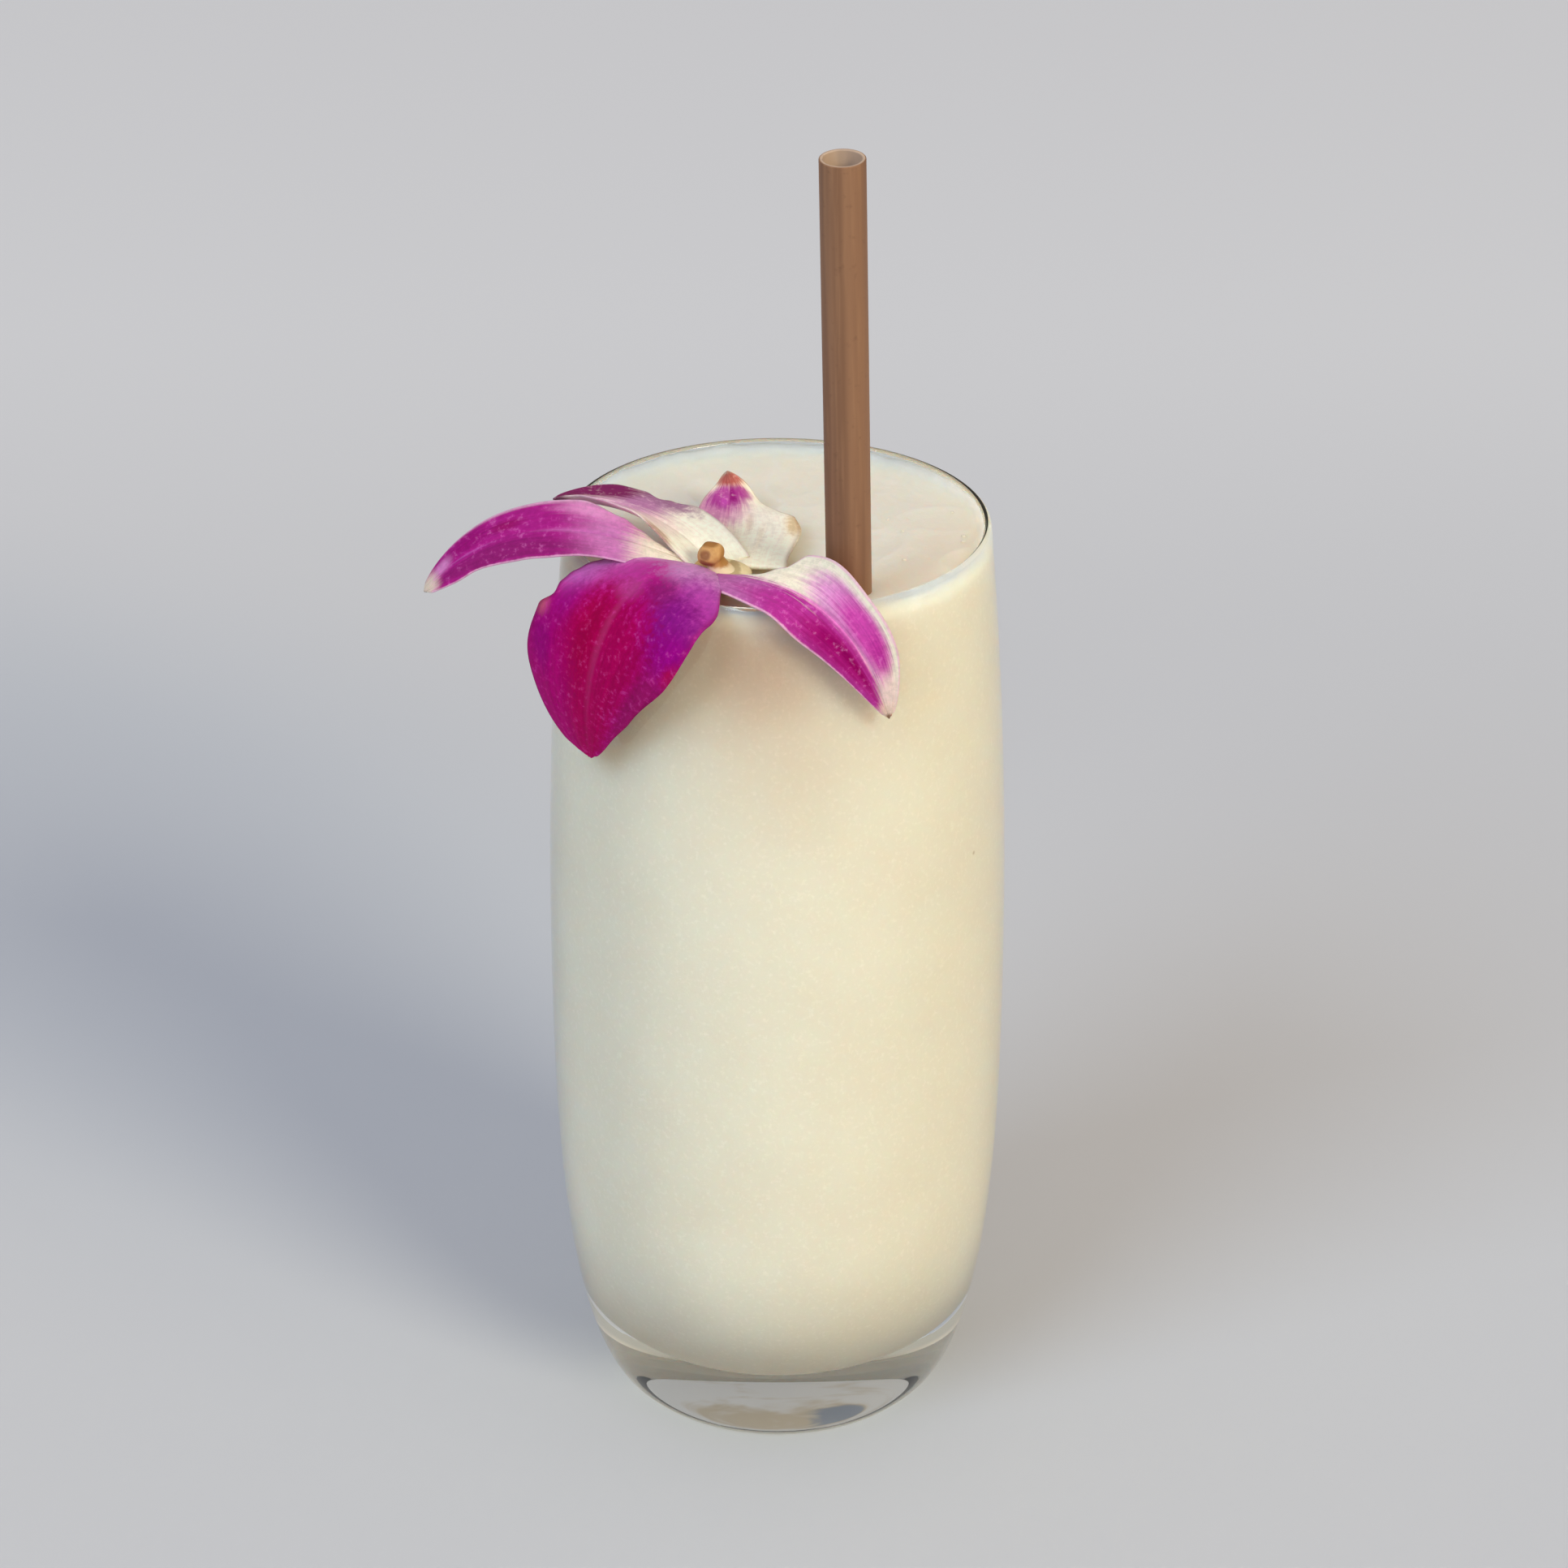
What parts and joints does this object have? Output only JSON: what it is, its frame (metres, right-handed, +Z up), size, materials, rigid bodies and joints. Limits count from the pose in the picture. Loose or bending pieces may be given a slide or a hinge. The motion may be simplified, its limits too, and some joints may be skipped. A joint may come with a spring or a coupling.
{
  "type": "coconut lemonade",
  "caption": "Tall rounded clear glass filled almost to the rim with creamy coconut lemonade, with a brown straw and an orchid bloom draped over the rim",
  "frame": {"origin": "middle of the glass's flat foot, on the surface it stands on", "axes": "+Z up along the axis of the glass, -Y toward the side that the bloom hangs over, +X to the right as seen from that side"},
  "size_m": [0.0817, 0.0697, 0.2017],
  "materials": {
    "clear_glass": "clear, smooth and polished, thick at the base",
    "coconut_lemonade": "opaque pale cream liquid with a slightly lumpy, slushy surface",
    "straw_brown": "matt mid brown with soft streaks along its length, paler inside",
    "orchid_magenta": "soft satin petals, deep magenta with paler lilac and cream-white parts near the heart"
  },
  "bodies": {
    "root": {"glass": "clear_glass", "drink": "coconut_lemonade", "straw": "straw_brown", "orchid": "orchid_magenta"}
  },
  "joints": []
}
